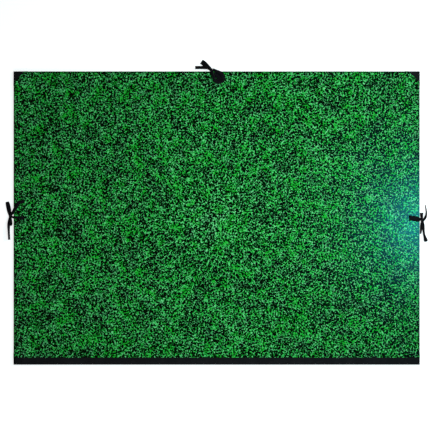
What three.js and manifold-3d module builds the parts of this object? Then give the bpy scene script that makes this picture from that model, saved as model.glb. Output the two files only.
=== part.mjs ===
// A drawing portfolio for sheets of 50 x 70 cm: two covers of grey board in marbled paper, joined by
// a spine of black cloth, with cloth corners and three pairs of ribbons tied in small bows.
// Millimetres. It lies closed on its back cover: X runs along the spine, +Y points away from the
// spine, +Z points up out of the front cover, and the origin is under the middle of the covers.

import * as THREE from "three";
import { mergeVertices } from "three/addons/utils/BufferGeometryUtils.js";
import Module from "manifold-3d";

const wasm = await Module();
wasm.setup();

// Driving dimensions

const boardLength = 719; // along the spine
const boardDepth = 516.5; // from the spine to the fore edge
const boardThickness = 2;
const clothThickness = 0.3; // spine, corners and inner hinge
const paperThickness = 0.15; // marbled covering paper
const liningSkin = 0.15; // lining sheet where it lies over the thickest turn-in
const closedGap = 0.4; // air between the two linings when the portfolio is closed
const foldGap = 0.3; // air between the two halves of the cloth at the fold

const turnIn = 15; // covering folded over onto the inner face
const stripSeen = 13; // spine cloth seen on the face, from the fold to the paper's edge
const stripLap = 8; // spine cloth hidden under the paper
const cornerSeen = 20; // cloth corner seen along each edge
const cornerLap = 5; // cloth corner hidden under the paper, along each edge
const hingeOnBoard = 20; // inner hinge cloth glued to the board
const liningInset = 5; // lining sheet back from the three outer edges
const liningSpineInset = 8; // lining sheet back from the board's spine edge

const ribbonWidth = 9;
const ribbonThickness = 0.25;
const ribbonEase = 0.025; // air between a ribbon and the face that it lies on
const slitInset = 18; // middle of the slit, back from the edge
const slitWidth = 1.8;
const slitSpare = 0.5; // slit beyond the ribbon at each end
const tabLength = 25; // end of the ribbon glued under the lining
const slitBend = 0.4; // radius of the ribbon's bend in the slit
const slitRun = 4; // the ribbon leaves the slit squarely for this far
const edgeLead = 1.4; // it stays level and straight for this far on both sides of the edge
const edgeShare = 0.45; // share of its width that is left there, where the knot gathers it
const sideTieY = 0; // ribbons at the middle of the left and right edge
const topTieX = 5; // ribbons near the middle of the top edge

const arcSteps = 10; // straight steps in a quarter turn of the spine cloth
const bendSteps = 6; // straight steps in one bend of a ribbon
const ribbonStrips = 3; // flat strips across a ribbon's face, so that it can twist

// Levels in one cover, from its outermost face inwards. The paper lies lowest where it laps the cloth.

const paperFace = clothThickness;
const boardOuter = paperFace + paperThickness;
const boardInner = boardOuter + boardThickness;
const liningFace = boardInner + clothThickness + paperThickness + liningSkin;
const closedThickness = 2 * liningFace + closedGap;
const middle = closedThickness / 2;

// Plan of one cover. The cloth turns round the fold in a half circle about the board's spine edge.

const foldRadius = middle - paperThickness;
const edgeCover = clothThickness + paperThickness;
const totalDepth = foldRadius + boardDepth + edgeCover;
const foldY = -totalDepth / 2;
const spineEdge = foldY + foldRadius;
const foreEdge = spineEdge + boardDepth;
const endX = boardLength / 2;
const paperStart = foldY + stripSeen;
const clothEnd = paperStart + stripLap;

// Solids

// Corners are rounded to a ten-thousandth of a millimetre, so that faces that meet share one plane.
function solid(geometry) {
  geometry.deleteAttribute("normal");
  geometry.deleteAttribute("uv");
  const corners = geometry.getAttribute("position");
  const rounded = corners.array.map((value) => Math.round(value * 1e4) / 1e4);
  geometry.setAttribute("position", new THREE.BufferAttribute(rounded, 3));
  const merged = mergeVertices(geometry, 1e-4);
  const vertProperties = merged.getAttribute("position").array;
  const triVerts = new Uint32Array(merged.index.array);
  return new wasm.Manifold(new wasm.Mesh({ numProp: 3, vertProperties, triVerts }));
}

function block([x0, y0, z0], [x1, y1, z1]) {
  const box = new THREE.BoxGeometry(x1 - x0, y1 - y0, z1 - z0);
  return solid(box.translate((x0 + x1) / 2, (y0 + y1) / 2, (z0 + z1) / 2));
}

// A block drawn the same on both sides of the middle of the spine.
function acrossBlock(halfLength, y0, y1, z0, z1) {
  return block([-halfLength, y0, z0], [halfLength, y1, z1]);
}

// A section drawn in Y and Z, carried along X.
function alongSpine(section, halfLength) {
  const geometry = new THREE.ExtrudeGeometry(section, {
    depth: 2 * halfLength,
    bevelEnabled: false,
    curveSegments: arcSteps,
  });
  const basis = new THREE.Matrix4().makeBasis(
    new THREE.Vector3(0, 1, 0),
    new THREE.Vector3(0, 0, 1),
    new THREE.Vector3(1, 0, 0),
  );
  return solid(geometry.applyMatrix4(basis).translate(-halfLength, 0, 0));
}

// A right triangle in plan at a far corner of the board, its right angle `out` beyond the board.
function cornerBlock(side, leg, out, z0, z1) {
  const cornerX = side * (endX + out);
  const cornerY = foreEdge + out;
  const plan = new THREE.Shape([
    new THREE.Vector2(cornerX, cornerY),
    new THREE.Vector2(cornerX - side * leg, cornerY),
    new THREE.Vector2(cornerX, cornerY - leg),
  ]);
  const geometry = new THREE.ExtrudeGeometry(plan, { depth: z1 - z0, bevelEnabled: false });
  return solid(geometry.translate(0, 0, z0));
}

// The three pairs of ribbons: where the edge is, which way is out, and which way is along the edge.

const sideEdgeX = endX + paperThickness;
const farEdgeY = foreEdge + paperThickness;
const ties = {
  left: { edge: [-sideEdgeX, sideTieY], out: [-1, 0], along: [0, 1] },
  right: { edge: [sideEdgeX, sideTieY], out: [1, 0], along: [0, 1] },
  top: { edge: [topTieX, farEdgeY], out: [0, 1], along: [1, 0] },
};

function tiePoint(tie, out, along, height) {
  const x = tie.edge[0] + tie.out[0] * out + tie.along[0] * along;
  const y = tie.edge[1] + tie.out[1] * out + tie.along[1] * along;
  return new THREE.Vector3(x, y, height);
}

// A block as long as the slit, from one distance out of the edge to another.
function tieBlock(tie, outA, outB, z0, z1) {
  const half = ribbonWidth / 2 + slitSpare;
  const a = tiePoint(tie, outA, -half, z0);
  const b = tiePoint(tie, outB, half, z1);
  const low = a.clone().min(b);
  const high = a.clone().max(b);
  return block(low.toArray(), high.toArray());
}

const cutBeyond = 5; // cutting solids reach this far past what they cut

function slit(tie) {
  const nearSide = -slitInset - slitWidth / 2;
  return tieBlock(tie, nearSide, nearSide + slitWidth, -cutBeyond, boardInner + cutBeyond);
}

// Room in the lining for the ribbon's glued tab.
function tabPocket(tie) {
  const tabEnd = -slitInset - slitWidth / 2 - tabLength - slitSpare;
  const pocketTop = boardInner + ribbonThickness + 2 * ribbonEase;
  return tieBlock(tie, tabEnd, -slitInset + slitWidth / 2, boardInner, pocketTop);
}

// The tools are joined before the cut, so that tools that touch leave no sliver between them.
function cutAll(body, tools) {
  return body.subtract(tools.reduce((joined, tool) => joined.add(tool)));
}

// One cover's pieces, with the outer face down

const wholeBoard = acrossBlock(endX, spineEdge, foreEdge, boardOuter, boardInner);
const slits = Object.values(ties).map(slit);
const board = cutAll(wholeBoard, slits);

// A quarter of the turn round the fold, about the board's spine edge, up to the gap at the middle.
function foldAngle(radius) {
  return -Math.PI + Math.asin(foldGap / 2 / radius);
}

function makeSpineCloth() {
  const innerRadius = foldRadius - clothThickness;
  const section = new THREE.Shape();
  section.moveTo(clothEnd, paperThickness);
  section.lineTo(spineEdge, paperThickness);
  section.absarc(spineEdge, middle, foldRadius, -Math.PI / 2, foldAngle(foldRadius), true);
  section.absarc(spineEdge, middle, innerRadius, foldAngle(innerRadius), -Math.PI / 2, false);
  section.lineTo(clothEnd, boardOuter);
  section.closePath();
  const wrapEnd = endX + clothThickness;
  const innerLevel = boardInner + clothThickness;
  const strip = alongSpine(section, wrapEnd);
  const wrap = acrossBlock(wrapEnd, spineEdge, clothEnd, paperThickness, innerLevel);
  const insideLow = spineEdge - cutBeyond;
  const inside = acrossBlock(endX - turnIn, insideLow, clothEnd + cutBeyond, boardInner, liningFace);
  return strip.add(wrap.subtract(inside).subtract(wholeBoard));
}

// Glued to the board's inner face and spine edge, then against the inside of the spine cloth.
function makeHingeCloth() {
  const outerRadius = foldRadius - clothThickness;
  const innerRadius = outerRadius - clothThickness;
  const innerStart = -Math.PI / 2 - Math.asin(clothThickness / innerRadius);
  const faceEnd = spineEdge + hingeOnBoard;
  const section = new THREE.Shape();
  section.moveTo(faceEnd, boardInner);
  section.lineTo(faceEnd, boardInner + clothThickness);
  section.lineTo(spineEdge - clothThickness, boardInner + clothThickness);
  section.absarc(spineEdge, middle, innerRadius, innerStart, foldAngle(innerRadius), true);
  section.absarc(spineEdge, middle, outerRadius, foldAngle(outerRadius), -Math.PI / 2, false);
  section.lineTo(spineEdge, boardInner);
  section.closePath();
  return alongSpine(section, endX - turnIn);
}

function makeCorner(side) {
  const leg = cornerSeen + cornerLap;
  const low = boardOuter - clothThickness;
  const high = boardInner + clothThickness;
  return cornerBlock(side, leg, clothThickness, low, high).subtract(wholeBoard);
}

const spineCloth = makeSpineCloth();
const hingeCloth = makeHingeCloth();
const leftCorner = makeCorner(-1);
const rightCorner = makeCorner(1);
const cloths = [spineCloth, hingeCloth, leftCorner, rightCorner];

// The paper follows the board, rises over the cloth at the laps, and is cut off across the corners.
function makePaper() {
  const skin = acrossBlock(
    endX + paperThickness,
    paperStart,
    foreEdge + paperThickness,
    boardOuter - paperThickness,
    boardInner + paperThickness,
  );
  const lapLow = boardOuter - edgeCover;
  const lapHigh = boardInner + edgeCover;
  const riser = 2 * paperThickness;
  const spineLap = acrossBlock(endX + edgeCover, paperStart, clothEnd + riser, lapLow, lapHigh);
  const lapLeg = cornerSeen + cornerLap + 2 * riser;
  const cutLeg = cornerSeen + 2 * (cutBeyond - clothThickness);
  const inside = block(
    [-endX + turnIn, paperStart - cutBeyond, boardInner],
    [endX - turnIn, foreEdge - turnIn, lapHigh + cutBeyond],
  );
  let paper = skin.add(spineLap);
  for (const side of [-1, 1]) {
    paper = paper.add(cornerBlock(side, lapLeg, edgeCover, lapLow, lapHigh));
  }
  for (const side of [-1, 1]) {
    paper = paper.subtract(cornerBlock(side, cutLeg, cutBeyond, -cutBeyond, lapHigh + cutBeyond));
  }
  return cutAll(paper, [wholeBoard, inside, ...cloths, ...slits]);
}

const coverPaper = makePaper();

// One sheet, flat on its open face and pressed thin over the turn-ins and the ribbons' tabs.
function makeLining() {
  const sheet = acrossBlock(
    endX - liningInset,
    spineEdge + liningSpineInset,
    foreEdge - liningInset,
    boardInner,
    liningFace,
  );
  return cutAll(sheet, [coverPaper, ...cloths, ...Object.values(ties).map(tabPocket)]);
}

const lining = makeLining();

// Ribbons. A route is a list of [out, along, height, [across], width share, bend radius]: the ribbon
// runs from point to point, rounds each one in a quadratic curve, and holds its width `across`.

const FLAT = [0, 1, 0]; // width along the edge, as on the cover's face
const OUTWARD = [1, 0, 0]; // lying flat, its width towards the outside
const INWARD = [-1, 0, 0]; // the same, turned the other way round
const ON_EDGE = [0.3, 0, 1]; // nearly upright

// Under the lining, through the slit and over the outer face to the edge. Heights run from `face`
// towards the board when `inward` is 1 on the back cover, and down from the front face when it is -1.
function fastened(face, inward, start, end) {
  const halfTab = ribbonThickness / 2 + ribbonEase;
  const tabLevel = face + inward * (boardInner - paperFace + halfTab);
  const faceLevel = face - inward * halfTab;
  const crossing = slitWidth / 2 - slitBend - 0.1;
  return [
    [-slitInset - tabLength, start, tabLevel, FLAT, 1],
    [-slitInset - crossing, start, tabLevel, FLAT, 1, slitBend],
    [-slitInset + crossing, start, faceLevel, FLAT, 1, slitBend],
    [-slitInset + slitRun, start, faceLevel, FLAT, 1],
    [-edgeLead, end, faceLevel, FLAT, 1, slitRun],
    [edgeLead, end, faceLevel, FLAT, edgeShare, edgeLead],
  ];
}

// Loops and tails beyond the edge. The front ribbons' heights are measured from the front cover's
// paper, the back ribbons' from the surface that the portfolio lies on.
const frontRoutes = {
  left: [
    [4.9, 3.6, -0.6, [-0.7, 0.7, 0], 0.28],
    [1.5, 10.4, 0.6, [-0.9, -0.3, 0], 0.5],
    [-5, 21, 0.7, [-0.86, -0.5, 0], 0.65],
    [-10, 28.5, 0.6, [-0.5, -0.86, 0], 0.65],
    [-17.5, 29.5, 0.6, [0, -1, 0], 0.65],
    [-20.5, 29.5, 1.4, [0, -1, 0], 0.65],
    [-17.5, 29.5, 2.2, [0, -1, 0], 0.65],
    [-10.4, 27.6, 2.2, [-0.5, -0.86, 0], 0.65],
    [-5.8, 20.4, 2.2, [-0.86, -0.5, 0], 0.65],
    [1.2, 9.8, 2.3, [-0.86, -0.5, 0], 0.6],
    [4.9, 4.2, 1.9, [-0.95, -0.3, 0], 0.4],
    [5.3, -2, 0.6, INWARD, 0.5],
    [4.6, -7.5, -1.4, INWARD, 0.75],
    [4, -13.5, -3, INWARD, 0.8],
  ],
  right: [
    [5.1, -2.5, -0.3, [-0.7, 0.7, 0], 0.18],
    [4.4, 4.2, -0.9, INWARD, 0.42],
    [3.5, 7.6, -0.9, INWARD, 0.6],
    [3.5, 9.8, -2, INWARD, 0.65],
    [3.5, 7.6, -3.1, INWARD, 0.6],
    [3.8, 2.4, -3.2, INWARD, 0.55],
    [4.4, -5.2, -3.2, INWARD, 0.5],
    [6.2, -13, -3, [-1, 0, 0.2], 0.8],
    [7.6, -24, -3.6, [-1, -0.2, 0.3], 0.9],
    [10.2, -34, -4.4, [-1, -0.3, 0.2], 1],
    [12.2, -41.5, -5.2, [-0.9, -0.4, 0], 1],
  ],
  top: [
    [5.2, -3.8, 0, [-0.7, 0.7, 0], 0.22],
    [4.6, 2.6, 0.7, INWARD, 0.3],
    [-1.5, 7, 1, [-0.6, -0.8, 0], 0.45],
    [-9, 8.4, 1, [0, -1, 0], 0.5],
    [-16, 7.4, 1, [0.2, -1, 0], 0.5],
    [-20.5, 3, 1.2, [1, 0, 0], 0.5],
    [-17, -1.5, 1.4, [0.6, 0.7, 0], 0.5],
    [-9, -3.6, 1.8, [0.3, 1, 0], 0.5],
    [-1, -6.4, 2.1, [0.5, 0.8, 0], 0.5],
    [4, -10.5, 0.6, [0.8, 0.5, 0], 0.5],
    [6.2, -17, -1.4, [0.8, 0, 0.5], 0.7],
    [7.2, -27, -2, [0.6, 0, 0.85], 0.9],
    [7, -43, -2, [0.5, 0, 0.85], 1],
  ],
};
const backRoutes = {
  left: [
    [5.2, 2.6, 0.25, [-0.7, 0.7, 0], 0.28],
    [7.4, 9, 0.6, [-1, 0.3, 0], 0.65],
    [9.2, 17, 0.8, [-1, 0.2, 0], 0.7],
    [11.4, 27.5, 0.8, [-1, 0.2, 0], 0.7],
    [12, 30.5, 1.7, [-1, 0.2, 0], 0.7],
    [11.4, 27.5, 2.6, [-1, 0.2, 0], 0.7],
    [9.2, 17, 2.6, [-1, 0.2, 0], 0.7],
    [7.2, 9, 2.6, [-1, 0.2, 0], 0.65],
    [6, 3, 2.6, INWARD, 0.5],
    [7.6, -5, 3.2, [-0.8, 0, -0.5], 0.7],
    [9.2, -14, 4.6, [-0.4, 0, -0.9], 1],
    [8.6, -27, 4.7, [-0.3, 0, -1], 1],
    [8, -38.5, 4.6, [-0.3, 0, -1], 1],
  ],
  right: [
    [5, -2.8, 0.2, [0.7, 0.7, 0], 0.2],
    [3.9, -12, 0.6, OUTWARD, 0.6],
    [3.6, -24, 0.7, OUTWARD, 0.6],
    [3.5, -31, 1.6, OUTWARD, 0.6],
    [3.6, -24, 2.5, OUTWARD, 0.6],
    [3.9, -12, 2.4, OUTWARD, 0.6],
    [5.4, -5, 2.2, OUTWARD, 0.5],
    [10.5, -0.5, 3, [0.8, -0.4, 0.5], 0.6],
    [12.2, 8, 4.7, ON_EDGE, 1],
    [11.4, 15, 4.8, ON_EDGE, 1],
    [9.6, 23.5, 4.7, ON_EDGE, 1],
  ],
  top: [
    [4.2, -6, 0.15, [0.6, 0.8, 0], 0.4],
    [8, -13.5, 0.6, [0.8, 0.6, 0], 0.7],
    [13.5, -20, 1, [0.8, 0.6, 0], 0.85],
    [17.5, -25, 0.8, [0.8, 0.6, 0], 0.85],
    [19.8, -30.5, 0.6, [0.9, 0.4, 0], 0.85],
  ],
};

// A pair of route rows blended into one place, width direction and width share.
function blended(a, b, share) {
  return {
    place: a.place.clone().lerp(b.place, share),
    across: a.across.clone().lerp(b.across, share),
    width: THREE.MathUtils.lerp(a.width, b.width, share),
  };
}

// The stations of a ribbon: the first row, each rounded bend in steps, and the last row.
function stationsOf(tie, route) {
  const rows = route.map(([out, along, height, across, width, bend = Infinity]) => ({
    place: tiePoint(tie, out, along, height),
    across: tiePoint({ ...tie, edge: [0, 0] }, ...across),
    width,
    bend,
  }));
  const last = rows.length - 1;
  const stations = [];
  const put = (station, tangent) => {
    const before = stations.at(-1);
    if (!before || before.place.distanceTo(station.place) > 0.01) {
      stations.push({ ...station, tangent: tangent.normalize() });
    }
  };
  put(rows[0], rows[1].place.clone().sub(rows[0].place));
  for (let i = 1; i < last; i += 1) {
    const here = rows[i];
    const lengthIn = here.place.distanceTo(rows[i - 1].place);
    const lengthOut = here.place.distanceTo(rows[i + 1].place);
    const start = blended(here, rows[i - 1], Math.min(here.bend / lengthIn, 0.5));
    const end = blended(here, rows[i + 1], Math.min(here.bend / lengthOut, 0.5));
    for (let step = 0; step <= bendSteps; step += 1) {
      const t = step / bendSteps;
      const first = blended(start, here, t);
      const second = blended(here, end, t);
      put(blended(first, second, t), second.place.clone().sub(first.place));
    }
  }
  put(rows[last], rows[last].place.clone().sub(rows[last - 1].place));
  return stations;
}

// A path that carries its own width direction, so that a flat tape turns where it is told to.
class TapePath extends THREE.Curve {
  constructor(stations) {
    super();
    this.stations = stations;
  }

  getSpacedPoints() {
    return this.stations.map((station) => station.place);
  }

  computeFrenetFrames() {
    const tangents = this.stations.map((station) => station.tangent);
    const normals = this.stations.map(({ across, tangent }) =>
      across.clone().addScaledVector(tangent, -across.dot(tangent)).normalize(),
    );
    const binormals = tangents.map((tangent, i) => tangent.clone().cross(normals[i]));
    normals.forEach((normal, i) => normal.multiplyScalar(this.stations[i].width));
    return { tangents, normals, binormals };
  }
}

function ribbon(tie, route) {
  const stations = stationsOf(tie, route);
  const places = Array.from({ length: ribbonStrips + 1 }, (_, i) => i / ribbonStrips - 0.5);
  const lower = places.map((at) => new THREE.Vector2(at * ribbonWidth, -ribbonThickness / 2));
  const upper = places.map((at) => new THREE.Vector2(-at * ribbonWidth, ribbonThickness / 2));
  const section = new THREE.Shape([...lower, ...upper]);
  const steps = stations.length - 1;
  return solid(new THREE.ExtrudeGeometry(section, { steps, extrudePath: new TapePath(stations) }));
}

// Where each ribbon leaves its slit and where it meets the edge, along the edge.
const frontLeads = { left: [0, 1.5], right: [0, -2.5], top: [0, -4] };
const backLeads = { left: [0, 1], right: [0, -2], top: [0, -3.5] };

function frontRibbon(name) {
  const face = closedThickness - paperFace;
  const free = frontRoutes[name].map(([out, along, height, ...rest]) => {
    return [out, along, face + height, ...rest];
  });
  return ribbon(ties[name], [...fastened(face, -1, ...frontLeads[name]), ...free]);
}

function backRibbon(name) {
  const start = fastened(paperFace, 1, ...backLeads[name]);
  return ribbon(ties[name], [...start, ...backRoutes[name]]);
}

// Materials

const finishes = {
  greyboard: { color: 0x8c8780, roughness: 0.95 },
  marbledPaper: { color: 0x1f6b45, roughness: 0.35 },
  blackCloth: { color: 0x121214, roughness: 0.8 },
  liningPaper: { color: 0x2b2b2c, roughness: 0.85 },
  ribbonCloth: { color: 0x15111a, roughness: 0.6 },
};

function mesh(name, finish, body) {
  const made = body.getMesh();
  const geometry = new THREE.BufferGeometry();
  geometry.setAttribute("position", new THREE.BufferAttribute(made.vertProperties, 3));
  geometry.setIndex(new THREE.BufferAttribute(made.triVerts, 1));
  geometry.computeVertexNormals();
  const material = new THREE.MeshStandardMaterial({ ...finishes[finish], metalness: 0 });
  const part = new THREE.Mesh(geometry, material);
  part.name = name;
  return part;
}

// Scene graph. The front cover is the back cover turned over in a mirror at the middle.

function cover(name) {
  const group = new THREE.Group();
  group.add(mesh(`${name}_board`, "greyboard", board));
  group.add(mesh(`${name}_cover_paper`, "marbledPaper", coverPaper));
  group.add(mesh(`${name}_lining`, "liningPaper", lining));
  group.add(mesh(`${name}_spine_cloth`, "blackCloth", spineCloth));
  group.add(mesh(`${name}_hinge_cloth`, "blackCloth", hingeCloth));
  group.add(mesh(`${name}_left_corner`, "blackCloth", leftCorner));
  group.add(mesh(`${name}_right_corner`, "blackCloth", rightCorner));
  return group;
}

const backCover = cover("back");
const frontCover = cover("front");
frontCover.scale.z = -1;
frontCover.position.z = closedThickness;

const portfolio = new THREE.Group();
portfolio.add(backCover, frontCover);
for (const name of Object.keys(ties)) {
  portfolio.add(mesh(`front_${name}_ribbon`, "ribbonCloth", frontRibbon(name)));
  portfolio.add(mesh(`back_${name}_ribbon`, "ribbonCloth", backRibbon(name)));
}

export default portfolio;
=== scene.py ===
# %% [markdown]
# # Drawing portfolio
#
# A flat portfolio for large sheets: two covers of grey board in varnished marbled paper, a spine
# and four corners of black book cloth, and six woven ribbons tied in three small bows. It lies
# closed on its back cover. X runs along the spine, +Y points away from it and +Z points up out of
# the front cover. Sizes are written in millimetres where the making is described, and turned into
# metres when a piece is made.

# %% Load the frame
import math

import bpy
import numpy as np
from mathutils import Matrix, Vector


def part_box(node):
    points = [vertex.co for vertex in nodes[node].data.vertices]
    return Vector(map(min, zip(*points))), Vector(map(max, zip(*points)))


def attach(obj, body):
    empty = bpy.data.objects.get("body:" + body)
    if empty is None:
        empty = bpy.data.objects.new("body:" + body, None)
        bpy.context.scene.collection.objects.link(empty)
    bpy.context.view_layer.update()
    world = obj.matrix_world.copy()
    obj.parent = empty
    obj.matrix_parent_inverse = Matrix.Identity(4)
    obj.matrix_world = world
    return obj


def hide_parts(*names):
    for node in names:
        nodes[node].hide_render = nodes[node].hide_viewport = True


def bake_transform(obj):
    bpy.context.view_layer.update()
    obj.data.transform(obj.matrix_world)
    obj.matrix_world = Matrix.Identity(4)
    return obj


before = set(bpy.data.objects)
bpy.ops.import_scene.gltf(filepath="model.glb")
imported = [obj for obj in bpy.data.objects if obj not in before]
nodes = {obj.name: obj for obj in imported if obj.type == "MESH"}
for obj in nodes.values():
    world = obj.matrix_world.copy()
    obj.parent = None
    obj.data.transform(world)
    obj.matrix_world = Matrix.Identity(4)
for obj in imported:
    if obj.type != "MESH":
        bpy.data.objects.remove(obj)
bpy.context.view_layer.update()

# %% [markdown]
# ## Sizes
#
# The covers are measured from the frame. The rest are the thicknesses and insets of such a
# portfolio, the same ones that the solids are made with: 0.3 mm cloth, 0.15 mm paper, 2 mm board,
# 15 mm turned in at the edges, and ribbons 9 mm wide through slits 18 mm from the edge.

# %% Sizes in millimetres
CLOTH, PAPER, BOARD = 0.3, 0.15, 2.0
SKIN = CLOTH + PAPER
CLOSED_GAP = 0.4
THICK = 2 * (CLOTH + PAPER + BOARD + CLOTH + PAPER + PAPER) + CLOSED_GAP
FACE = THICK - CLOTH
MIDDLE = THICK / 2
END_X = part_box("front_board")[1][0] * 1000
SPINE_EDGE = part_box("front_board")[0][1] * 1000
FORE_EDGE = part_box("front_board")[1][1] * 1000
FOLD_RADIUS = MIDDLE - PAPER
STRIP_SEEN, STRIP_LAP = 13, 8
CLOTH_END = SPINE_EDGE - FOLD_RADIUS + STRIP_SEEN + STRIP_LAP
TURN_IN, HINGE_ON_BOARD = 15, 20
RIBBON_WIDTH, RIBBON_THICKNESS = 9.0, 0.25
SLIT_INSET, SLIT_WIDTH, TAB = 18.0, 1.8, 25.0
print("Closed thickness", THICK, "mm, board", 2 * END_X, "by", round(FORE_EDGE - SPINE_EDGE, 3))

# %% [markdown]
# ## Camera
#
# The photograph looks straight down on the front cover from far away, so its edges stay parallel.
# Its 430 pixels span 761.7 mm at the height of the cover's face, and its middle lies 2.9 mm left
# of the cover's middle and 5.4 mm above it.

# %% Camera
CAMERA_HEIGHT = 3.0
PHOTO_SPAN = 0.7617
PHOTO_MIDDLE = (-0.0029, 0.0054)
SENSOR = 36.0
camera = bpy.data.objects.new("camera", bpy.data.cameras.new("camera"))
bpy.context.scene.collection.objects.link(camera)
camera.location = (*PHOTO_MIDDLE, FACE / 1000 + CAMERA_HEIGHT)
camera.data.sensor_width = SENSOR
camera.data.lens = SENSOR * CAMERA_HEIGHT / PHOTO_SPAN
camera.data.clip_start = 0.01
bpy.context.scene.camera = camera
print("Lens", round(camera.data.lens, 1), "mm")

# %% [markdown]
# ## Making surfaces
#
# The ribbons and the two long cloth strips are woven goods that bend, so each is made as a numpy
# surface: a closed loop of points for each step along the piece, joined into a skin of quads and
# closed with a flat face at both ends. A curve with a bevel would bend as well, but it couldn't
# change its width on the way or carry creases. Each piece has its own `weave` coordinates in
# metres, across and along, so that threads run the way they were woven.


# %% Skin of loops
def skin(name, loops, weave):
    """A closed body from loops of shape (steps, points, 3) in metres. Face (i, j) joins the points
    (i, j), (i+1, j), (i+1, j+1), (i, j+1), the last point of a loop being next to its first."""
    steps, around = loops.shape[:2]
    index = np.arange(steps * around).reshape(steps, around)
    beside = np.roll(index, -1, axis=1)
    quads = np.stack([index[:-1], index[1:], beside[1:], beside[:-1]], axis=-1).reshape(-1, 4)
    mesh = bpy.data.meshes.new(name)
    ends = [index[0].tolist(), index[-1][::-1].tolist()]
    mesh.from_pydata(loops.reshape(-1, 3).tolist(), [], quads.tolist() + ends)
    corner = np.zeros(len(mesh.loops), dtype=np.int32)
    mesh.loops.foreach_get("vertex_index", corner)
    flat = weave.reshape(-1, 2)[corner]
    mesh.uv_layers.new(name="weave").data.foreach_set("uv", flat.ravel().astype(np.float32))
    mesh.polygons.foreach_set("use_smooth", np.ones(len(mesh.polygons), dtype=bool))
    mesh.update()
    made = bpy.data.objects.new(name, mesh)
    bpy.context.scene.collection.objects.link(made)
    face_out(made)
    return made


def face_out(made):
    """Turns every face round if the body's volume, the sum of a.(b x c) / 6, is negative."""
    mesh = made.data
    mesh.calc_loop_triangles()
    places = np.array([v.co[:] for v in mesh.vertices])
    corners = np.zeros(len(mesh.loop_triangles) * 3, dtype=np.int32)
    mesh.loop_triangles.foreach_get("vertices", corners)
    a, b, c = places[corners.reshape(-1, 3)].transpose(1, 0, 2)
    if np.einsum("ij,ij->i", a, np.cross(b, c)).sum() < 0:
        mesh.flip_normals()


def unit(vectors):
    """v / |v| for each row."""
    return vectors / np.linalg.norm(vectors, axis=-1, keepdims=True)


# %% [markdown]
# ## Ribbons
#
# A ribbon is glued under the lining, comes through a slit in the cover and is tied outside the edge
# with the ribbon of the other cover. A cloth simulation could tie such a bow, but not one that
# matches the photograph, so each ribbon is a flat woven tape swept along one smooth line. A row of
# a route says how far out of the edge the tape is, how far along the edge, how high, which way its
# width lies, and which share of its width still lies flat where the bow pinches it.
# The pinched tape arches and creases. The solids have nearly the same rows. These ones were fitted
# once more to the photograph, and the top bow moved most, by up to 8 mm.

# %% Routes of the ribbons
FLAT, OUTWARD, INWARD = [0, 1, 0], [1, 0, 0], [-1, 0, 0]
ON_EDGE = [0.3, 0, 1]
FREE = math.inf
TOP_TIE_X = 5
sides = {
    "left": {"edge": [-END_X - PAPER, 0], "out": [-1, 0], "along": [0, 1]},
    "right": {"edge": [END_X + PAPER, 0], "out": [1, 0], "along": [0, 1]},
    "top": {"edge": [TOP_TIE_X, FORE_EDGE + PAPER], "out": [0, 1], "along": [1, 0]},
}
front_routes = {
    "left": [
        [4.9, 3.6, -0.6, [-0.7, 0.7, 0], 0.28],
        [1.5, 10.4, 0.6, [-0.9, -0.3, 0], 0.5],
        [-5, 21, 0.7, [-0.86, -0.5, 0], 0.65],
        [-10, 28.5, 0.6, [-0.5, -0.86, 0], 0.65],
        [-17.5, 29.5, 0.6, [0, -1, 0], 0.65],
        [-20.5, 29.5, 1.4, [0, -1, 0], 0.65],
        [-17.5, 29.5, 2.2, [0, -1, 0], 0.65],
        [-10.4, 27.6, 2.2, [-0.5, -0.86, 0], 0.65],
        [-5.8, 20.4, 2.2, [-0.86, -0.5, 0], 0.65],
        [1.2, 9.8, 2.3, [-0.86, -0.5, 0], 0.6],
        [4.9, 4.2, 1.9, [-0.95, -0.3, 0], 0.4],
        [5.3, -2, 0.6, INWARD, 0.5],
        [5.2, -7.5, -1.4, INWARD, 0.7],
        [5, -11.5, -2.6, INWARD, 0.6],
        [5, -13.5, -3, INWARD, 0.3],
    ],
    "right": [
        [5.1, -2.5, -0.3, [-0.7, 0.7, 0], 0.18],
        [4.4, 4.2, -0.9, INWARD, 0.42],
        [3.6, 7.6, -0.9, INWARD, 0.65],
        [3.6, 9.8, -2, INWARD, 0.7],
        [3.6, 7.6, -3.1, INWARD, 0.65],
        [3.8, 2.4, -2.7, INWARD, 0.55],
        [4.4, -5.2, -2.2, INWARD, 0.5],
        [6.2, -12, -2.4, [-1, 0, 0.2], 0.7],
        [7.2, -20.5, -3.6, [-1, -0.2, 0.3], 0.5],
        [8.2, -29, -4, [-1, -0.3, 0.3], 0.45],
        [10.2, -35.5, -4.6, [-1, -0.4, 0.2], 0.6],
        [11.2, -38.5, -5, [-0.9, -0.5, 0.1], 0.85],
        [12, -41.8, -5.2, [-0.9, -0.4, 0], 0.6],
    ],
    "top": [
        [4, -13.5, 0, [-0.7, 0.7, 0], 0.5],
        [1, -5.5, 0.8, [-0.8, -0.6, 0], 0.5],
        [-3.5, 3.5, 1, [-0.6, -0.8, 0], 0.75],
        [-9, 6.8, 1, [0, -1, 0], 0.8],
        [-16, 6.5, 1, [0.2, -1, 0], 0.75],
        [-20, 0, 1.2, [1, 0, 0], 0.7],
        [-17, -8.5, 1.4, [0.6, 0.7, 0], 0.7],
        [-10, -10.5, 1.8, [0.3, 1, 0], 0.65],
        [-3, -12.5, 2.1, [0.5, 0.8, 0], 0.6],
        [3, -15.5, 1.6, [0.8, 0.5, 0], 0.5],
        [6.4, -21, -1.4, [0.8, 0, 0.5], 0.6],
        [7.2, -28, -2, [0.7, 0, 0.7], 0.8],
        [7, -43, -2, [0.6, 0, 0.8], 0.9],
    ],
}
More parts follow.
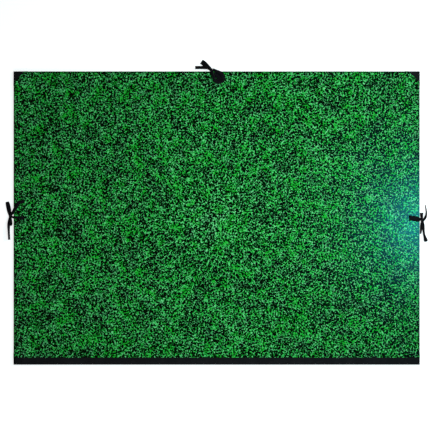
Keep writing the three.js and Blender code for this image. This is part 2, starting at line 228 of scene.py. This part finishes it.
back_routes = {
    "left": [
        [5.2, 2.6, 0.25, [-0.7, 0.7, 0], 0.28],
        [7.8, 9, 0.6, [-1, 0.3, 0], 0.75],
        [9.2, 17, 0.8, [-1, 0.2, 0], 0.88],
        [11.2, 26.5, 0.8, [-1, 0.2, 0], 0.8],
        [11.8, 29.5, 1.7, [-1, 0.2, 0], 0.6],
        [11.2, 26.5, 2.6, [-1, 0.2, 0], 0.8],
        [9.2, 17, 2.6, [-1, 0.2, 0], 0.88],
        [7.8, 9, 2.6, [-1, 0.2, 0], 0.75],
        [6, 3, 2.6, INWARD, 0.5],
        [7.6, -5, 3.2, [-0.8, 0, -0.5], 0.7],
        [9.2, -14, 4.6, [-0.4, 0, -0.9], 1],
        [8.6, -27, 4.7, [-0.3, 0, -1], 1],
        [8, -38.5, 4.6, [-0.3, 0, -1], 1],
    ],
    "right": [
        [5, -2.8, 0.2, [0.7, 0.7, 0], 0.2],
        [3.8, -12, 0.6, OUTWARD, 0.6],
        [2.8, -22, 0.7, OUTWARD, 0.4],
        [2, -30, 1.6, OUTWARD, 0.22],
        [2.8, -22, 2.5, OUTWARD, 0.4],
        [3.8, -12, 2.4, OUTWARD, 0.6],
        [5.4, -5, 2, OUTWARD, 0.5],
        [10.2, -0.5, 3, [0.8, -0.4, 0.5], 0.5],
        [12.2, 7, 4.4, ON_EDGE, 0.75],
        [11.8, 14, 4.2, ON_EDGE, 0.65],
        [9.9, 23.5, 4, ON_EDGE, 0.35],
    ],
    "top": [
        [4.4, -15.5, 0.15, [0.6, 0.8, 0], 0.6],
        [8, -20, 0.6, [0.7, 0.7, 0], 0.8],
        [12, -24.5, 1, [0.7, 0.7, 0], 1],
        [15.5, -28.5, 0.8, [0.7, 0.7, 0], 1],
        [18, -32, 0.6, [0.7, 0.7, 0], 0.95],
    ],
}
# Where each run over the cover starts and ends along the edge, and how wide it lies.
front_leads = {"left": [0, 1.5], "right": [0, -2.5], "top": [0, -5.5]}
back_leads = {"left": [0, 1], "right": [0, -2], "top": [0, -12]}
run_shares = {"left": 0.5, "right": 1, "top": 1}
print("Routes of", len(front_routes) + len(back_routes), "ribbons")


# %% From a route to a line
EASE = 0.025  # air between a ribbon and the face that it lies on
SLIT_BEND, SLIT_AIR = 0.4, 0.5  # radius of the bend in the slit, and its distance from the side
SLIT_RUN = 4  # the ribbon leaves the slit squarely for this far
EDGE_LEAD, EDGE_SHARE = 1.4, 0.45  # level on both sides of the edge, gathered by the knot


def fastened(face, inward, start, end, gathered):
    """The rows from the glued tab, through the slit and over the cover to its edge, where the run
    over the cover is as wide as the share `gathered`."""
    half = RIBBON_THICKNESS / 2 + EASE
    tab_level = face + inward * (PAPER + BOARD + half)
    face_level = face - inward * half
    crossing = SLIT_WIDTH / 2 - SLIT_AIR
    return [
        [-SLIT_INSET - TAB, start, tab_level, FLAT, 1, FREE],
        [-SLIT_INSET - crossing, start, tab_level, FLAT, 1, SLIT_BEND],
        [-SLIT_INSET + crossing, start, face_level, FLAT, 1, SLIT_BEND],
        [-SLIT_INSET + SLIT_RUN, start, face_level, FLAT, gathered, FREE],
        [-EDGE_LEAD, end, face_level, FLAT, gathered, SLIT_RUN],
        [EDGE_LEAD, end, face_level, FLAT, EDGE_SHARE, EDGE_LEAD],
    ]


def row_values(side, rows):
    """One row each of place, width direction and width share, and the bends' radii. A row (o, a, h)
    lies at edge + out * o + along * a + up * h, in millimetres."""
    out, along = np.array(side["out"] + [0.0]), np.array(side["along"] + [0.0])
    up, edge = np.array([0.0, 0.0, 1.0]), np.array(side["edge"] + [0.0])
    basis = np.stack([out, along, up])
    places = np.array([row[:3] for row in rows]) @ basis + edge
    across = np.array([row[3] for row in rows]) @ basis
    share = np.array([[row[4]] for row in rows], dtype=float)
    bends = np.array([row[5] if len(row) > 5 else FREE for row in rows])
    return np.hstack([places, across, share]), bends


def rounded_line(values, bends, spacing=0.35, steps=16):
    """Each inner row b becomes the curve (1-t)^2 a + 2t(1-t) b + t^2 c, where a and c lie on the
    straight runs before and after it, half a run away at most. The whole is then spaced evenly."""
    runs = np.linalg.norm(np.diff(values[:, :3], axis=0), axis=1)
    before = np.minimum(bends[1:-1] / runs[:-1], 0.5)[:, None]
    after = np.minimum(bends[1:-1] / runs[1:], 0.5)[:, None]
    b = values[1:-1]
    a = b + (values[:-2] - b) * before
    c = b + (values[2:] - b) * after
    t = np.linspace(0, 1, steps)[None, :, None]
    curve = (1 - t) ** 2 * a[:, None] + 2 * t * (1 - t) * b[:, None] + t**2 * c[:, None]
    line = np.vstack([values[:1], curve.reshape(-1, values.shape[1]), values[-1:]])
    gone = np.concatenate([[0], np.linalg.norm(np.diff(line[:, :3], axis=0), axis=1).cumsum()])
    even = np.linspace(0, gone[-1], int(gone[-1] / spacing) + 1)
    return np.stack([np.interp(even, gone, column) for column in line.T], axis=1), even


# %% From a line to a tape
ARCH, CREASE = 2.2, 0.35  # heights in millimetres at a width share of 0
CREASE_TURN, CREASE_DRIFT = 9.4, 0.06  # radians from the middle to a side, and per millimetre
SELVEDGE_FROM, SELVEDGE_EXTRA = 0.93, 0.25  # the outer sides are thicker by this share


def tape(name, line, gone, points=13):
    """At s across, from -1 to 1, the tape's middle surface is at
    p + a * (width / 2 * share * s) + n * n_z^2 * (arch + creases), with n turned upwards, and its
    two faces lie half its thickness to each side. With pinch = 1 - share,
    arch = ARCH * pinch * (1 - s^2), creases = CREASE * pinch * (1 + sin(turn * s + drift)) / 2."""
    places, share = line[:, :3], line[:, 6:7]
    tangents = unit(np.gradient(places, axis=0))
    across = line[:, 3:6]
    across = unit(across - tangents * (across * tangents).sum(axis=1, keepdims=True))
    normals = np.cross(tangents, across)
    s = np.linspace(-1, 1, points)[None, :]
    pinch = 1 - share
    arch = ARCH * pinch * (1 - s**2)
    wave = np.sin(CREASE_TURN * s + CREASE_DRIFT * gone[:, None])
    creases = CREASE * pinch * (1 + wave) / 2
    lift = (arch + creases) * normals[:, 2:3] ** 2
    middle = places[:, None] + across[:, None] * (RIBBON_WIDTH / 2 * share * s)[..., None]
    middle = middle + np.sign(normals[:, None, 2:3]) * normals[:, None] * lift[..., None]
    half = RIBBON_THICKNESS / 2 * (1 + SELVEDGE_EXTRA * (np.abs(s) > SELVEDGE_FROM))
    offset = normals[:, None] * (half * np.ones_like(lift))[..., None]
    loops = np.concatenate([middle + offset, (middle - offset)[:, ::-1]], axis=1)
    s_around = np.concatenate([s, s[:, ::-1]], axis=1) * RIBBON_WIDTH / 2
    weave = np.stack(np.broadcast_arrays(s_around, gone[:, None]), axis=-1)
    return skin(name, loops / 1000, weave / 1000)


# %% The six ribbons
ribbons = {}
for cover, routes, leads, face, inward, base in [
    ("front", front_routes, front_leads, FACE, -1, FACE),
    ("back", back_routes, back_leads, CLOTH, 1, 0),
]:
    for side_name, side in sides.items():
        start, end = leads[side_name]
        rows = fastened(face, inward, start, end, run_shares[side_name])
        rows += [[row[0], row[1], row[2] + base, *row[3:]] for row in routes[side_name]]
        line, gone = rounded_line(*row_values(side, rows))
        node = f"{cover}_{side_name}_ribbon"
        ribbon = tape(f"{node}_tape", line, gone)
        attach(ribbon, f"{cover}_cover")
        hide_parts(node)
        ribbons[node] = ribbon
        print(node, "length", round(gone[-1], 1), "mm, lowest", round(line[:, 2].min(), 2))

# %% [markdown]
# ## Spine cloth
#
# One strip of cloth is glued to both boards and runs round the fold, and a second one joins the
# boards on the inside. The solids are half strips, because a rigid body can't bend at the joint.
# Here each strip is made in one piece, in the closed shape. In section the outer one is straight,
# then a half circle about the boards' spine edges, then straight again. Its ends are turned over
# the ends of each board.


# %% Strips that run along the spine
SPINE_STEPS = 145


def strip_along_spine(name, section, thickness, half_length):
    """The section's points (y, z) are carried along x at even steps. The second face of the cloth
    lies one thickness to the left of the way that the section runs."""
    ahead = unit(np.gradient(section, axis=0))
    left = np.stack([-ahead[:, 1], ahead[:, 0]], axis=1)
    run = np.concatenate([[0], np.linalg.norm(np.diff(section, axis=0), axis=1).cumsum()])
    ring = np.concatenate([section, (section + left * thickness)[::-1]])
    along_section = np.concatenate([run, run[::-1]])
    x = np.linspace(-half_length, half_length, SPINE_STEPS)
    loops = np.zeros((len(x), len(ring), 3))
    loops[:, :, 0] = x[:, None]
    loops[:, :, 1:] = ring[None]
    weave = np.stack(np.broadcast_arrays(along_section[None], x[:, None]), axis=-1)
    return skin(name, loops / 1000, weave / 1000)


def arc(radius, start, end, count=25):
    """Points at edge + radius * (cos a, sin a) about the middle of the boards' spine edges, for
    angles a from start to end in degrees."""
    angle = np.radians(np.linspace(start, end, count))
    return np.stack([SPINE_EDGE + radius * np.cos(angle), MIDDLE + radius * np.sin(angle)], axis=1)


def straight(start, end, count=9):
    """Points on a line from start to end."""
    return np.linspace(start, end, count)


def joined(*parts):
    """The parts one after the other, each without its first point where the last one ended."""
    kept = [parts[0]] + [part[1:] for part in parts[1:]]
    return np.vstack(kept)


spine_section = joined(
    straight([CLOTH_END, THICK - PAPER], [SPINE_EDGE, THICK - PAPER]),
    arc(FOLD_RADIUS, 90, 270),
    straight([SPINE_EDGE, PAPER], [CLOTH_END, PAPER]),
)
spine_cloth = strip_along_spine("spine_cloth", spine_section, CLOTH, END_X + CLOTH)

inner = FOLD_RADIUS - CLOTH
front_level = THICK - SKIN - BOARD
back_level = SKIN + BOARD
hinge_section = joined(
    straight([SPINE_EDGE + HINGE_ON_BOARD, front_level], [SPINE_EDGE, front_level]),
    straight([SPINE_EDGE, front_level], [SPINE_EDGE, MIDDLE + inner], 5),
    arc(inner, 90, 270),
    straight([SPINE_EDGE, MIDDLE - inner], [SPINE_EDGE, back_level], 5),
    straight([SPINE_EDGE, back_level], [SPINE_EDGE + HINGE_ON_BOARD, back_level]),
)
hinge_cloth = strip_along_spine("hinge_cloth", hinge_section, CLOTH, END_X - TURN_IN)
for strip, kind in [(spine_cloth, "spine_cloth"), (hinge_cloth, "hinge_cloth")]:
    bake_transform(strip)
    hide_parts(f"back_{kind}", f"front_{kind}")
print("Spine cloth", len(spine_cloth.data.vertices), "points")

# %% Turned-over ends of the spine cloth
OFF_FOLD = 0.02  # keeps an end's flat face off the fold


def turned_end(name, cover, side):
    """The cloth folded round the end of one board: in section over x and z it comes up the board's
    end, bends over in a quarter circle as thick as itself and lies on the board's inner face."""
    bend = np.radians(np.linspace(0, 90, 7))
    board_face, turned_to = SKIN + BOARD, END_X - TURN_IN
    outer = joined(
        straight([END_X + CLOTH, SKIN], [END_X + CLOTH, board_face], 5),
        np.stack([END_X + CLOTH * np.cos(bend), board_face + CLOTH * np.sin(bend)], axis=1),
        straight([END_X, board_face + CLOTH], [turned_to, board_face + CLOTH]),
    )
    inside = np.array([[turned_to, board_face], [END_X, board_face], [END_X, SKIN]])
    ring = np.concatenate([outer, inside])
    if cover == "front":
        ring = ring * [1, -1] + [0, THICK]
    y = np.linspace(SPINE_EDGE + OFF_FOLD, CLOTH_END, 9)
    loops = np.zeros((len(y), len(ring), 3))
    loops[:, :, 0] = side * ring[None, :, 0]
    loops[:, :, 1] = y[:, None]
    loops[:, :, 2] = ring[None, :, 1]
    weave = loops[:, :, :2] + loops[:, :, 2:]
    made = skin(name, loops / 1000, weave / 1000)
    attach(made, f"{cover}_cover")
    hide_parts(f"{cover}_spine_cloth")
    return made


turned_ends = [
    turned_end(f"{cover}_spine_end_{word}", cover, side)
    for cover in ("back", "front")
    for word, side in (("left", -1), ("right", 1))
]
print("Turned ends", len(turned_ends))

# %% [markdown]
# ## Finishes
#
# Each finish is a small network of noises read in the piece's own coordinates, in metres, so that
# the pattern keeps its size on every piece: fine marbling on the paper, an even weave on the cloth,
# ribs on the ribbons, fibres in the board and in the lining. A scale of 200 gives a noise features
# about 1 / 200 m, or 5 mm, apart.


# %% Helpers for shader trees
def tree_of(name):
    """A new material, its node tree and the surface shader wired to its output."""
    material = bpy.data.materials.new(name)
    material.use_nodes = True
    return material, material.node_tree, material.node_tree.nodes["Principled BSDF"]


def add(tree, kind, **settings):
    """A node with its own settings and, by socket name, its numbers and colours."""
    node = tree.nodes.new(kind)
    for name, value in settings.items():
        if hasattr(node, name):
            setattr(node, name, value)
        else:
            node.inputs[name.replace("_", " ")].default_value = value
    return node


def wire(tree, source, target):
    """Links one socket to another."""
    tree.links.new(source, target)


def noise(tree, where, scale, detail=2.0, roughness=0.5, distortion=0.0):
    """Soft random values about 1 / scale metres apart."""
    node = add(tree, "ShaderNodeTexNoise", Scale=scale, Detail=detail, Roughness=roughness)
    node.inputs["Distortion"].default_value = distortion
    wire(tree, where, node.inputs["Vector"])
    return node.outputs["Fac"]


def calc(tree, operation, first, second=0.0):
    """One step of arithmetic on values or plain numbers."""
    node = add(tree, "ShaderNodeMath", operation=operation)
    for socket, value in zip(node.inputs, (first, second)):
        if isinstance(value, (int, float)):
            socket.default_value = value
        else:
            wire(tree, value, socket)
    return node.outputs[0]


def ramp(tree, value, stops):
    """Colours or greys at given places along a value."""
    node = add(tree, "ShaderNodeValToRGB")
    elements = node.color_ramp.elements
    while len(elements) < len(stops):
        elements.new(0.5)
    for element, (place, colour) in zip(elements, stops):
        element.position = place
        element.color = (*colour, 1) if len(colour) == 3 else (colour[0],) * 3 + (1,)
    wire(tree, value, node.inputs["Fac"])
    return node.outputs["Color"]


def mixed(tree, share, first, second, blend="MIX"):
    """first where share is 0, second where it is 1."""
    node = add(tree, "ShaderNodeMix", data_type="RGBA", blend_type=blend)
    sockets = (node.inputs[0], node.inputs[6], node.inputs[7])
    for socket, value in zip(sockets, (share, first, second)):
        if isinstance(value, (int, float)):
            socket.default_value = value
        elif isinstance(value, tuple):
            socket.default_value = (*value, 1)
        else:
            wire(tree, value, socket)
    return node.outputs[2]


def raised(tree, shader, height, distance, strength=1.0):
    """Bumps the shader's surface by a height between 0 and 1, `distance` metres tall."""
    node = add(tree, "ShaderNodeBump", Strength=strength, Distance=distance)
    wire(tree, height, node.inputs["Height"])
    wire(tree, node.outputs["Normal"], shader.inputs["Normal"])


# %% [markdown]
# ## Marbled paper
#
# The covers' paper has a fine traditional marbling, green on nearly black, and a gloss varnish.
# Real marbling is paint that spreads on a bath in drops, is stirred and is lifted off with a sheet.
# It could be a flow simulation, but a stroke here is only 1 to 3 mm long, so noises that work in
# the same order are enough. Cells stand for the drops, a stirring bends them, crumbs break their
# borders into strokes, and slower noises gather the paint and turn it lively or dusty in patches.


# %% Colours and relief of the marbling
STIR_SCALE, STIR_SHIFT = 280.0, 0.0045
DROP_SCALE, CRUMB_SCALE, FLOW_SCALE = 200.0, 390.0, 60.0
CRUMB_SHARE, FLOW_SHARE, STROKE_REACH = 1.3, 0.35, 0.057


def marbling():
    """The marbling as a group over a place in metres. Paint lies where reach - distance > 0, with
    reach = STROKE_REACH + FLOW_SHARE * (flow - 1/2) + CRUMB_SHARE * (crumbs - 1/2) and distance
    the distance from the border between two stirred drops."""
    group = bpy.data.node_groups.new("fine_marbling", "ShaderNodeTree")
    group.interface.new_socket("Place", in_out="INPUT", socket_type="NodeSocketVector")
    group.interface.new_socket("Colour", in_out="OUTPUT", socket_type="NodeSocketColor")
    group.interface.new_socket("Relief", in_out="OUTPUT", socket_type="NodeSocketFloat")
    place = add(group, "NodeGroupInput").outputs["Place"]
    result = add(group, "NodeGroupOutput")

    stir = add(group, "ShaderNodeTexNoise", Scale=STIR_SCALE, Detail=2.0)
    wire(group, place, stir.inputs["Vector"])
    shift = add(group, "ShaderNodeVectorMath", operation="MULTIPLY_ADD")
    wire(group, stir.outputs["Color"], shift.inputs[0])
    shift.inputs[1].default_value = (STIR_SHIFT,) * 3
    wire(group, place, shift.inputs[2])
    stirred = shift.outputs["Vector"]

    drops = add(group, "ShaderNodeTexVoronoi", feature="DISTANCE_TO_EDGE", Scale=DROP_SCALE)
    wire(group, stirred, drops.inputs["Vector"])
    flow = noise(group, place, FLOW_SCALE, 3.0, 0.6)
    crumbs = noise(group, stirred, CRUMB_SCALE, 1.5, 0.5)
    gathered = calc(group, "MULTIPLY", calc(group, "SUBTRACT", flow, 0.5), FLOW_SHARE)
    broken = calc(group, "MULTIPLY", calc(group, "SUBTRACT", crumbs, 0.5), CRUMB_SHARE)
    reach = calc(group, "ADD", calc(group, "ADD", gathered, broken), STROKE_REACH)
    stroke = calc(group, "SUBTRACT", reach, drops.outputs["Distance"])
    paint = ramp(group, calc(group, "ADD", stroke, 0.5), [(0.485, (0.0,)), (0.515, (1.0,))])

    load = noise(group, stirred, 380.0, 2.0, 0.6)
    green = ramp(
        group,
        load,
        [
            (0.34, (0.0, 0.26, 0.012)),
            (0.45, (0.012, 0.56, 0.06)),
            (0.54, (0.09, 0.80, 0.19)),
            (0.63, (0.26, 0.96, 0.38)),
        ],
    )
    patch = noise(group, place, 62.0, 3.0, 0.6)
    lively = ramp(group, patch, [(0.50, (0.0,)), (0.66, (0.8,))])
    dusty = ramp(group, patch, [(0.36, (0.45,)), (0.46, (0.0,))])
    green = mixed(group, lively, green, (0.004, 0.58, 0.015))
    green = mixed(group, dusty, green, (0.08, 0.27, 0.15))
    ground = ramp(
        group,
        noise(group, place, 280.0, 2.0),
        [(0.46, (0.0, 0.001, 0.0)), (0.7, (0.0, 0.024, 0.001))],
    )
    wire(group, mixed(group, paint, ground, green), result.inputs["Colour"])
    wire(group, calc(group, "MULTIPLY", paint, 0.6), result.inputs["Relief"])
    return group


# %% Varnished marbled paper
# Painted shade: a dark line just inside the covers' free edges stands in for the shaded edge.
EDGE_SHADE_WIDTH = 0.005  # the paper is darker within 5 mm of the covers' free edges


def marbled_paper():
    """Marbling under a gloss varnish. A dark line just inside the free edges is painted shade,
    where the paper turns over the board's edge away from the light. near is 0 at 5 mm inside the
    board's nearest free edge and 1 at that edge."""
    material, tree, shader = tree_of("varnished_marbled_paper")
    place = add(tree, "ShaderNodeTexCoord").outputs["Object"]
    pattern = add(tree, "ShaderNodeGroup", node_tree=marbling())
    wire(tree, place, pattern.inputs["Place"])
    split = add(tree, "ShaderNodeSeparateXYZ")
    wire(tree, place, split.inputs[0])
    off_end = calc(tree, "SUBTRACT", calc(tree, "ABSOLUTE", split.outputs["X"]), END_X / 1000)
    off_front = calc(tree, "SUBTRACT", split.outputs["Y"], FORE_EDGE / 1000)
    past = calc(tree, "MAXIMUM", off_end, off_front)
    near = calc(tree, "ADD", calc(tree, "MULTIPLY", past, 1 / EDGE_SHADE_WIDTH), 1.0)
    # painted shade along the free edges, where the paper turns over the board's edge
    painted_edge_shade = ramp(tree, near, [(0.4, (0.0,)), (0.75, (0.7,)), (1.0, (0.25,))])
    colour = mixed(tree, painted_edge_shade, pattern.outputs["Colour"], (0.002, 0.010, 0.004))
    wire(tree, colour, shader.inputs["Base Color"])
    gloss = ramp(tree, noise(tree, place, 35.0, 4.0), [(0.3, (0.145,)), (0.7, (0.185,))])
    wire(tree, gloss, shader.inputs["Roughness"])
    grain = noise(tree, place, 900.0, 3.0, 0.6)
    relief = calc(tree, "ADD", calc(tree, "MULTIPLY", grain, 0.5), pattern.outputs["Relief"])
    raised(tree, shader, relief, 0.00003, 0.5)
    shader.inputs["Specular IOR Level"].default_value = 0.13
    return material


paper_finish = marbled_paper()
print("Made", paper_finish.name)

# %% [markdown]
# ## Book cloth
#
# Spine, corners and inner hinge are black cotton cloth, sized and calendered until it is dull and
# flat. The threads are finer than a camera pixel, so they could be left out, but close by they are
# what tells cloth from paper. So they are a relief that crosses two sets of ribs, the tops paler
# than the hollows as painted shade, with slubs in the thread and a little dust. Strips read it
# along their own weave and the small corners in the piece's own coordinates.


# %% Cloth finish
THREAD_PITCH = 0.0007


def weave_height(tree, where, pitch):
    """Over and under of a plain weave, 1/2 + 1/2 sin(2 pi x / pitch) sin(2 pi y / pitch)."""
    split = add(tree, "ShaderNodeSeparateXYZ")
    wire(tree, where, split.inputs[0])
    turn = 2 * math.pi / pitch
    a = calc(tree, "SINE", calc(tree, "MULTIPLY", split.outputs["X"], turn))
    b = calc(tree, "SINE", calc(tree, "MULTIPLY", split.outputs["Y"], turn))
    return calc(tree, "ADD", calc(tree, "MULTIPLY", calc(tree, "MULTIPLY", a, b), 0.5), 0.5)


def book_cloth(name, own_weave):
    """Black cotton cloth with a dull size on it, and painted shade in the hollows of its weave."""
    material, tree, shader = tree_of(name)
    if own_weave:
        where = add(tree, "ShaderNodeUVMap", uv_map="weave").outputs["UV"]
    else:
        where = add(tree, "ShaderNodeTexCoord").outputs["Object"]
    place = add(tree, "ShaderNodeTexCoord").outputs["Object"]
    threads = weave_height(tree, where, THREAD_PITCH)
    slubs = noise(tree, place, 600.0, 3.0, 0.7)
    dust = noise(tree, place, 40.0, 4.0, 0.6)
    # painted shade: the weave's hollows are darker than the thread tops
    shaded_weave_colour = mixed(tree, threads, (0.002, 0.002, 0.0025), (0.008, 0.0075, 0.009))
    worn = ramp(tree, dust, [(0.45, (0.0,)), (0.8, (0.4,))])
    wire(tree, mixed(tree, worn, shaded_weave_colour, (0.022, 0.021, 0.023)), shader.inputs["Base Color"])
    wire(tree, ramp(tree, slubs, [(0.3, (0.55,)), (0.7, (0.72,))]), shader.inputs["Roughness"])
    height = calc(tree, "ADD", calc(tree, "MULTIPLY", slubs, 0.4), threads)
    raised(tree, shader, height, 0.00006, 0.6)
    shader.inputs["Sheen Weight"].default_value = 0.02
    shader.inputs["Sheen Roughness"].default_value = 0.5
    shader.inputs["Specular IOR Level"].default_value = 0.12
    return material


strip_finish = book_cloth("book_cloth_strip", True)
corner_finish = book_cloth("book_cloth_corner", False)
print("Made", strip_finish.name, "and", corner_finish.name)

# %% [markdown]
# ## Ribbon weave
#
# The ties are black cotton tape with fine ribs across and a firm selvedge on each side. The sides
# are thicker in the mesh already. The ribs are a relief along the tape's own length, so they turn
# with it through the bow, and some lint takes the evenness out of the black.


# %% Ribbon finish
RIB_PITCH, WARP_PITCH, SELVEDGE_AT = 0.0006, 0.0004, 0.0041


def ribbon_weave():
    """Fine ribs run across the tape, and a firm selvedge runs along each side of it. The threads'
    height is 0.5 + 0.35 sin(2 pi along / RIB_PITCH) + 0.14 sin(2 pi across / WARP_PITCH)."""
    material, tree, shader = tree_of("ribbon_weave")
    where = add(tree, "ShaderNodeUVMap", uv_map="weave").outputs["UV"]
    split = add(tree, "ShaderNodeSeparateXYZ")
    wire(tree, where, split.inputs[0])
    across, along = split.outputs["X"], split.outputs["Y"]
    rib = calc(tree, "SINE", calc(tree, "MULTIPLY", along, 2 * math.pi / RIB_PITCH))
    warp = calc(tree, "SINE", calc(tree, "MULTIPLY", across, 2 * math.pi / WARP_PITCH))
    crossed = calc(tree, "ADD", rib, calc(tree, "MULTIPLY", warp, 0.4))
    threads = calc(tree, "ADD", calc(tree, "MULTIPLY", crossed, 0.35), 0.5)
    selvedge = calc(tree, "GREATER_THAN", calc(tree, "ABSOLUTE", across), SELVEDGE_AT)
    height = calc(tree, "ADD", threads, calc(tree, "MULTIPLY", selvedge, 0.6))
    fade = noise(tree, where, 160.0, 3.0, 0.6)
    # painted shade: the hollows between the ribs are darker than their tops
    shaded_weave_colour = mixed(tree, threads, (0.001, 0.0008, 0.0015), (0.006, 0.0045, 0.007))
    lint = ramp(tree, fade, [(0.5, (0.0,)), (0.8, (0.6,))])
    wire(tree, mixed(tree, lint, shaded_weave_colour, (0.012, 0.008, 0.012)), shader.inputs["Base Color"])
    wire(tree, ramp(tree, fade, [(0.3, (0.5,)), (0.7, (0.68,))]), shader.inputs["Roughness"])
    raised(tree, shader, height, 0.00008, 0.7)
    shader.inputs["Sheen Weight"].default_value = 0.02
    shader.inputs["Specular IOR Level"].default_value = 0.08
    return material


ribbon_finish = ribbon_weave()
print("Made", ribbon_finish.name)

# %% [markdown]
# ## Board and lining
#
# Grey board is pressed waste paper, and the lining is a matt black paper glued over it. Both are
# pulp: two tones that run into each other, with stray fibres and a soft tooth. One network makes
# both, with its own tones and grain for each.


# %% Board and lining finishes
def fibrous(name, low, high, fleck, scale):
    """Pulp of two tones, with short dark or light flecks and a soft tooth."""
    material, tree, shader = tree_of(name)
    place = add(tree, "ShaderNodeTexCoord").outputs["Object"]
    pulp = noise(tree, place, scale, 4.0, 0.65)
    hair = noise(tree, place, scale * 5, 2.0, 0.6, 2.0)
    body = ramp(tree, pulp, [(0.35, low), (0.65, high)])
    flecks = ramp(tree, hair, [(0.63, (0.0,)), (0.7, (0.7,))])
    wire(tree, mixed(tree, flecks, body, fleck), shader.inputs["Base Color"])
    wire(tree, ramp(tree, pulp, [(0.3, (0.8,)), (0.7, (0.92,))]), shader.inputs["Roughness"])
    raised(tree, shader, calc(tree, "ADD", pulp, hair), 0.00005, 0.5)
    shader.inputs["Specular IOR Level"].default_value = 0.3
    return material


board_finish = fibrous(
    "grey_board",
    low=(0.20, 0.185, 0.165),
    high=(0.29, 0.27, 0.24),
    fleck=(0.08, 0.07, 0.06),
    scale=300.0,
)
lining_finish = fibrous(
    "black_lining_paper",
    low=(0.010, 0.010, 0.011),
    high=(0.018, 0.018, 0.019),
    fleck=(0.035, 0.035, 0.036),
    scale=260.0,
)
print("Finishes", [m.name for m in bpy.data.materials])


# %% Give each piece its finish
def finish_with(made, material):
    """Gives a piece one material."""
    made.data.materials.clear()
    made.data.materials.append(material)


for ribbon in ribbons.values():
    finish_with(ribbon, ribbon_finish)
for strip in (spine_cloth, hinge_cloth, *turned_ends):
    finish_with(strip, strip_finish)
node_finishes = {
    "board": board_finish,
    "cover_paper": paper_finish,
    "lining": lining_finish,
    "left_corner": corner_finish,
    "right_corner": corner_finish,
}
for cover in ("back", "front"):
    for piece, material in node_finishes.items():
        for slot in nodes[f"{cover}_{piece}"].material_slots:
            slot.material = material
print("Finished", 2 * len(node_finishes), "solids,", len(ribbons), "ribbons and the cloth strips")

# %% [markdown]
# ## Floor and light
#
# The portfolio lies on a white floor in soft light. The floor has a glow that only the camera and
# mirrorings see, so that it shows white and still takes the portfolio's shadow. The key and the
# fill are kept in cones aimed at the middle, and the light falls off towards the left end as in the
# photograph. One cool lamp stands to the right, where the varnish mirrors it towards the camera in
# the pale sheen along the right edge. That tint could be paint in the paper, but it is light: it
# lies over dark and green alike.


# %% Floor
FLOOR_GLOW, FLOOR_HALF, FLOOR_DROP = 0.74, 6, 0.0001


def floor_finish():
    """Nearly white, matt and faintly uneven, with a glow for the camera and mirrorings only."""
    material, tree, shader = tree_of("floor")
    shader.inputs["Roughness"].default_value = 0.9
    place = add(tree, "ShaderNodeTexCoord").outputs["Object"]
    tone = ramp(tree, noise(tree, place, 3.0), [(0.3, (0.84,)), (0.7, (0.86,))])
    wire(tree, tone, shader.inputs["Base Color"])
    path = add(tree, "ShaderNodeLightPath")
    seen = calc(tree, "MAXIMUM", path.outputs["Is Camera Ray"], path.outputs["Is Glossy Ray"])
    seen = calc(tree, "MAXIMUM", seen, path.outputs["Is Transmission Ray"])
    glow = add(tree, "ShaderNodeEmission")
    wire(tree, calc(tree, "MULTIPLY", seen, FLOOR_GLOW), glow.inputs["Strength"])
    both = add(tree, "ShaderNodeAddShader")
    wire(tree, shader.outputs[0], both.inputs[0])
    wire(tree, glow.outputs[0], both.inputs[1])
    wire(tree, both.outputs[0], tree.nodes["Material Output"].inputs["Surface"])
    return material


floor_mesh = bpy.data.meshes.new("floor")
signs = ((-1, -1), (1, -1), (1, 1), (-1, 1))
floor_corners = [(x * FLOOR_HALF, y * FLOOR_HALF, 0) for x, y in signs]
floor_mesh.from_pydata(floor_corners, [], [(0, 1, 2, 3)])
floor = bpy.data.objects.new("floor", floor_mesh)
floor.location = (0, 0, -FLOOR_DROP)
bpy.context.scene.collection.objects.link(floor)
finish_with(floor, floor_finish())
print("Floor", 2 * FLOOR_HALF, "m wide")


# %% World and lamps
SKY, SKY_SEEN = 0.11, 0.89  # the world's light on everything, and what only the camera sees


def lamp(name, place, target, size, power, cone, colour=(1, 1, 1)):
    """A rectangular area lamp in metres and watts that faces its target, its light kept within a
    cone in degrees."""
    data = bpy.data.lights.new(name, "AREA")
    data.shape = "RECTANGLE"
    data.size, data.size_y = size
    data.energy = power
    data.spread = math.radians(cone)
    data.color = colour
    made = bpy.data.objects.new(name, data)
    bpy.context.scene.collection.objects.link(made)
    made.location = place
    away = np.array(place, dtype=float) - np.array(target, dtype=float)
    made.rotation_euler = Vector(away).to_track_quat("Z", "Y").to_euler()
    return made


world = bpy.data.worlds.new("world")
bpy.context.scene.world = world
world.use_nodes = True
sky = world.node_tree
background = sky.nodes["Background"]
background.inputs["Color"].default_value = (1, 1, 1, 1)
path = add(sky, "ShaderNodeLightPath")
for_camera = calc(sky, "MULTIPLY", path.outputs["Is Camera Ray"], SKY_SEEN)
wire(sky, calc(sky, "ADD", for_camera, SKY), background.inputs["Strength"])
lamp("key", (1.15, 0.7, 1.35), (0.07, 0, 0), (0.4, 0.4), 1.03, 40)
lamp("fill", (0.4, -2.0, 2.2), (0.07, 0, 0), (0.9, 0.7), 1.22, 40)
lamp("sheen", (0.70, -0.02, 2.0), (0.4, 0, 0), (0.15, 0.32), 1.42, 80, (0.05, 0.88, 1.0))
bpy.context.scene.view_settings.view_transform = "Standard"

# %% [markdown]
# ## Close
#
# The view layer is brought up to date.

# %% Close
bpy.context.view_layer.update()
